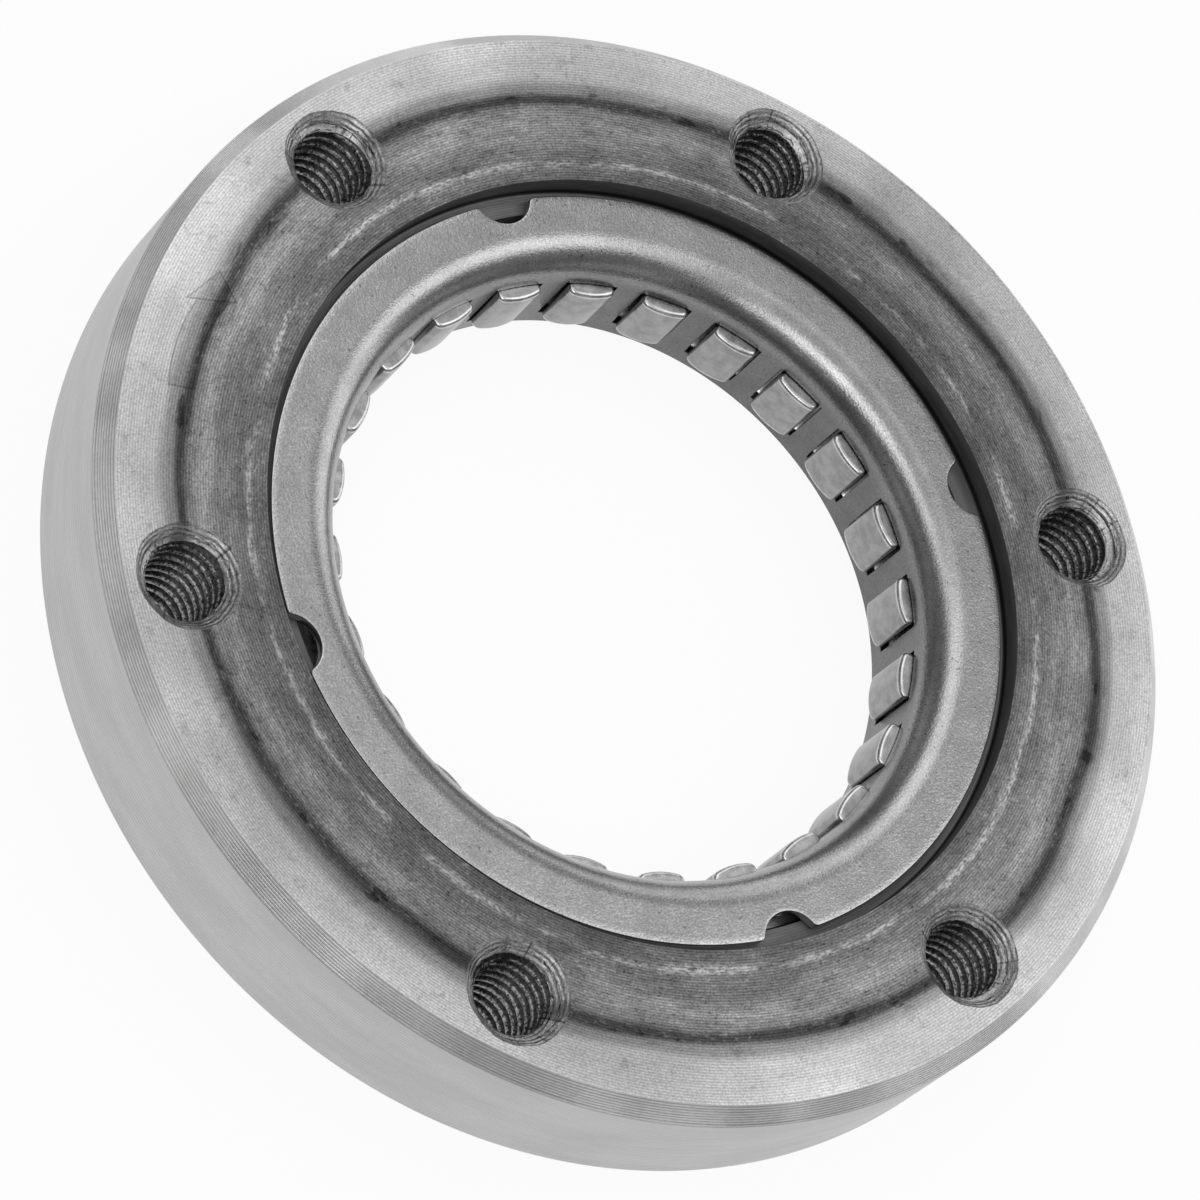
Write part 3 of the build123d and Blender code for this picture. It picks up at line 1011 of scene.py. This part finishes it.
def inner_cage():
    """Pressed cage: windowed wall, roll-over, and flange with its notches."""
    shell = Shell()
    levels = [CAGE_BOTTOM, (CAGE_BOTTOM + WINDOW_LOW) / 2, WINDOW_LOW, WINDOW_MIDDLE, WINDOW_HIGH, ROLL_LOW]
    (in_angles, in_rows), (out_angles, out_rows) = windowed_wall(
        shell, CAGE_INSIDE, CAGE_INSIDE + CAGE_WALL, INNER_WINDOW, levels)
    shell.strip(in_rows[0], out_rows[0])
    border, inward = full_border()
    border_angles = np.unwrap(np.arctan2(border[:, 1], border[:, 0]))

    def roll(start, angles, radius, steps):
        """Rows round the bend, from the wall to the flat of the flange. Gives the last."""
        rows = [start]
        for t in np.linspace(0, pi / 2, steps + 1)[1:]:
            rows.append(shell.ring(ROLL_OUT - radius * cos(t), ROLL_LOW + radius * sin(t), angles))
        shell.strips(rows)
        return rows[-1]

    def plate(bend_row, angles, height):
        """Flat rows from the bend to the flange's edge, laced to the bend's row. Gives the last."""
        shift = int(np.argmin(np.abs((angles - border_angles[0] + pi) % tau - pi)))
        turned = np.unwrap(np.roll(angles, -shift))
        turned += tau * round((border_angles[0] - turned[0]) / tau)
        start = directions(border_angles) * (ROLL_OUT + FLAT_START)
        end = border + inward * FLANGE_EDGE
        rows = [shell.level(start, height)]
        shell.lace(np.roll(bend_row, -shift), turned, rows[0], border_angles)
        for t in np.linspace(0, 1, PLATE_STEPS + 1)[1:]:
            rows.append(shell.level(start + (end - start) * t, height))
        shell.strips(rows)
        return rows[-1]

    top = roll(in_rows[-1], in_angles, ROLL_RADIUS, ROLL_STEPS)
    under = roll(out_rows[-1], out_angles, ROLL_RADIUS - CAGE_WALL, BEND_STEPS)
    upper = plate(top, in_angles, FLANGE_TOP)
    lower = plate(under, out_angles, FLANGE_LOW)
    quarter = np.linspace(0, pi / 2, FLANGE_EDGE_STEPS + 1)
    edge = [(1 - sin(t), FLANGE_TOP - FLANGE_EDGE * (1 - cos(t))) for t in quarter[1:]]
    edge += [(1 - cos(t), FLANGE_LOW + FLANGE_EDGE * (1 - sin(t))) for t in quarter]
    rounded = [shell.level(border + inward * FLANGE_EDGE * inset, height) for inset, height in edge]
    shell.strips([upper, *rounded, lower])
    piece = shell.build("clutch_inner_cage", [CAGE_STEEL])
    break_edges(piece, CAGE_EDGE)
    finish_piece(piece, "inner_cage", "inner_cage")


# Sprags

CAM_STEPS = 24
CAM_CORNER_STEPS = 7
FLANK_STEPS = 4
SPRAG_EDGE_STEPS = 5


def cam_end(half_width, side):
    """Outline of a nose (side -1) or a head (side 1): cam arc with a rounded corner at each flank.
    Runs with y rising. The cam's centre stands off to one side."""
    centre = np.array([side * (SPRAG_SPACE / 2 - CAM_RADIUS), -side * CAM_OFFSET])
    run = CAM_RADIUS - CAM_CORNER
    corners = []
    for y in (CAM_CORNER - half_width, half_width - CAM_CORNER):
        corners.append(np.array([centre[0] + side * sqrt(run**2 - (y - centre[1]) ** 2), y]))
    low, high = (atan2(y - centre[1], side * (x - centre[0])) for x, y in corners)
    arcs = (
        (corners[0], CAM_CORNER, np.linspace(-pi / 2, low, CAM_CORNER_STEPS + 1)),
        (centre, CAM_RADIUS, np.linspace(low, high, CAM_STEPS + 1)[1:-1]),
        (corners[1], CAM_CORNER, np.linspace(high, pi / 2, CAM_CORNER_STEPS + 1)),
    )
    return np.concatenate([middle + radius * directions(t) * (side, 1) for middle, radius, t in arcs])


def sprag_outline():
    """Closed outline of a sprag about its hinge, x outwards, in counter-clockwise order."""
    half = SPRAG_SPACE / 2
    corners = [
        (half, HEAD_HALF, 0),
        (half - HEAD_DEPTH, HEAD_HALF, FLANK_CORNER),
        (WAIST_DEPTH / 2, WAIST_HALF, FLANK_CORNER),
        (-WAIST_DEPTH / 2, WAIST_HALF, FLANK_CORNER),
        (NOSE_DEPTH - half, NOSE_HALF, FLANK_CORNER),
        (-half, NOSE_HALF, 0),
    ]
    upper = np.array(round_corners(corners, FLANK_STEPS)[1:-1])
    lower = upper[::-1] * (1, -1)
    return np.concatenate([cam_end(HEAD_HALF, 1), upper, cam_end(NOSE_HALF, -1)[::-1], lower])


def sprag_shell():
    """One sprag about its hinge, with rounded end edges."""
    shell = Shell()
    outline = sprag_outline()
    along = np.roll(outline, -1, axis=0) - np.roll(outline, 1, axis=0)
    along /= np.linalg.norm(along, axis=1)[:, None]
    inward = np.stack([-along[:, 1], along[:, 0]], axis=1)
    quarter = np.linspace(0, pi / 2, SPRAG_EDGE_STEPS + 1)
    edge = [(SPRAG_EDGE * (1 - sin(t)), SPRAG_EDGE * (1 - cos(t)) - SPRAG_HALF) for t in quarter]
    edge += [(inset, -height) for inset, height in edge[::-1]]
    rows = [shell.level(outline + inward * inset, height) for inset, height in edge]
    shell.strips(rows)
    for row, height in ((rows[0], -SPRAG_HALF), (rows[-1], SPRAG_HALF)):
        rim = shell.level(outline + inward * CAP_INSET, height)
        shell.strip(row, rim)
        shell.cap(rim)
    return shell


def sprags():
    """All sprags, each at its own hinge."""
    for joint in TILTS:
        name = joint["child"]
        x, y = joint["pos_m"][:2]
        shell = sprag_shell()
        points = np.concatenate(shell.points)
        flat = spun(points[:, :2], atan2(y, x)) + (x, y)
        shell.points = [np.c_[flat, points[:, 2] + SPRAG_MIDDLE]]
        piece = shell.build("clutch_" + name, [SPRAG_STEEL])
        finish_piece(piece, name, name)


outer_race()
outer_cage()
ribbon_spring()
inner_cage()
sprags()


# Floor, light and camera

WHITE = (1, 1, 1, 1)
FLOOR_GAP = 0.1 * MM
FLOOR_SIZE = 6.0
FLOOR_WHITE = 0.93
FLOOR_GREY = (0.86, 0.86, 0.86, 1)
FLOOR_ROUGHNESS = 0.8
WORLD_GLOW = 0.17
LEAST_GLOW = 0.1

# Soft boxes: azimuth, elevation, reach and core in degrees, then strength
SOFT_BOXES = (
    (15, 80, 38, 12, 0.44),
    (8, 22, 24, 12, 1.4), (-14, 52, 22, 9, 1.6),
    (59, 22, 24, 12, 1.1), (81, 52, 22, 9, 1.4),
    (163, 59, 16, 6, 1.5), (244, 51, 16, 6, 1.5), (213, 54, 14, 5, 0.5),
    (121, 59, 14, 5, 0.8), (297, 63, 14, 5, 0.6),
)

# Uneven band low down in the room, by the height of a direction
BAND_HEIGHTS = (0.3, 0.75)
BAND_SCALE = 3.0
BAND_LEVELS = (-0.45, 0.35)

# Key lamp, a square soft box in metres and watts
KEY_PLACE = (-0.355, -0.23, 0.795)
KEY_SIZE = 0.4
KEY_POWER = 0.9

# Camera, fitted to the photograph's round edges and holes: places in mm, roll in degrees
CAMERA_PLACE = (-248.2, -162.04, 433.17)
CAMERA_AIM = (-5.951, -3.732, 14.0)
CAMERA_ROLL = 48.858
CAMERA_LENS = 182.01
CAMERA_SENSOR = 36.0
CAMERA_CLIP = (0.05, 20.0)


def show_white(net, lit, white_share):
    """Mixes a lit shader with plain white where the camera or a mirror-like surface sees it."""
    path = net.add("ShaderNodeLightPath").outputs
    seen = net.most(*(path[name] for name in ("Is Camera Ray", "Is Glossy Ray", "Is Transmission Ray")))
    white = net.add("ShaderNodeEmission")
    white.inputs["Color"].default_value = WHITE
    return net.mix_shaders(net.times(seen, white_share), lit, white.outputs[0])


def floor():
    """Plain pale floor just under the part."""
    material = bpy.data.materials.new("studio_floor")
    material.use_nodes = True
    net = Nodes(material.node_tree)
    shader = net.nodes["Principled BSDF"]
    shader.inputs["Base Color"].default_value = FLOOR_GREY
    shader.inputs["Roughness"].default_value = FLOOR_ROUGHNESS
    shader.inputs["Specular IOR Level"].default_value = 0.0
    seen = show_white(net, shader.outputs[0], FLOOR_WHITE)
    net.links.new(seen, net.nodes["Material Output"].inputs["Surface"])
    mesh = bpy.data.meshes.new("studio_floor")
    half = FLOOR_SIZE / 2
    height = cad_box[0][2] - FLOOR_GAP
    corners = [(-half, -half, height), (half, -half, height), (half, half, height), (-half, half, height)]
    mesh.from_pydata(corners, [], [(0, 1, 2, 3)])
    mesh.materials.append(material)
    piece = bpy.data.objects.new("studio_floor", mesh)
    bpy.context.scene.collection.objects.link(piece)


def soft_box(net, place, azimuth, elevation, reach, core, strength):
    """Round glow about one direction: full as far as core and gone at reach, in degrees."""
    node = net.add("ShaderNodeVectorMath", operation="DOT_PRODUCT")
    net.links.new(place, node.inputs[0])
    flat = cos(radians(elevation)) * directions(radians(azimuth))
    node.inputs[1].default_value = (*flat, sin(radians(elevation)))
    return net.spread(node.outputs["Value"], cos(radians(reach)), cos(radians(core)), 0.0, strength)


def world():
    """Soft studio surround: an even glow, soft boxes overhead and all round, and an uneven band low down,
    as a room has. The camera sees it as plain white."""
    surround = bpy.data.worlds.new("studio")
    bpy.context.scene.world = surround
    surround.use_nodes = True
    net = Nodes(surround.node_tree)
    place = net.add("ShaderNodeTexCoord").outputs["Generated"]
    glow = net.plus(WORLD_GLOW, *(soft_box(net, place, *box) for box in SOFT_BOXES))
    room = net.add("ShaderNodeTexNoise")
    net.links.new(place, room.inputs["Vector"])
    room.inputs["Scale"].default_value = BAND_SCALE
    room.inputs["Detail"].default_value = 1.0
    split = net.add("ShaderNodeSeparateXYZ")
    net.links.new(place, split.inputs[0])
    low_down = net.spread(split.outputs[2], *BAND_HEIGHTS, 1.0, 0.0)
    uneven = net.spread(room.outputs[0], 0.38, 0.62, *BAND_LEVELS)
    light = net.nodes["Background"]
    light.inputs["Color"].default_value = WHITE
    net.links.new(net.most(net.plus(glow, net.times(low_down, uneven)), LEAST_GLOW), light.inputs["Strength"])
    white = net.add("ShaderNodeBackground")
    white.inputs["Color"].default_value = WHITE
    seen = net.add("ShaderNodeLightPath").outputs["Is Camera Ray"]
    mixed = net.mix_shaders(seen, light.outputs[0], white.outputs[0])
    net.links.new(mixed, net.nodes["World Output"].inputs["Surface"])


def key_lamp():
    """Square soft box that faces the origin."""
    light = bpy.data.lights.new("key", "AREA")
    light.energy = KEY_POWER
    light.size = KEY_SIZE
    piece = bpy.data.objects.new("key", light)
    piece.location = KEY_PLACE
    piece.rotation_euler = (-Vector(KEY_PLACE)).to_track_quat("-Z", "Y").to_euler()
    bpy.context.scene.collection.objects.link(piece)


def camera():
    """Camera at the photograph's place, with its long lens and its roll."""
    place = Vector(CAMERA_PLACE) * MM
    aim = Vector(CAMERA_AIM) * MM
    data = bpy.data.cameras.new("camera")
    data.sensor_width = CAMERA_SENSOR
    data.lens = CAMERA_LENS
    data.clip_start, data.clip_end = CAMERA_CLIP
    piece = bpy.data.objects.new("camera", data)
    piece.location = place
    piece.rotation_mode = "QUATERNION"
    roll = Quaternion((0, 0, 1), radians(CAMERA_ROLL))
    piece.rotation_quaternion = (aim - place).to_track_quat("-Z", "Y") @ roll
    bpy.context.scene.collection.objects.link(piece)
    bpy.context.scene.camera = piece


floor()
world()
key_lamp()
camera()
bpy.context.scene.view_settings.view_transform = "Standard"
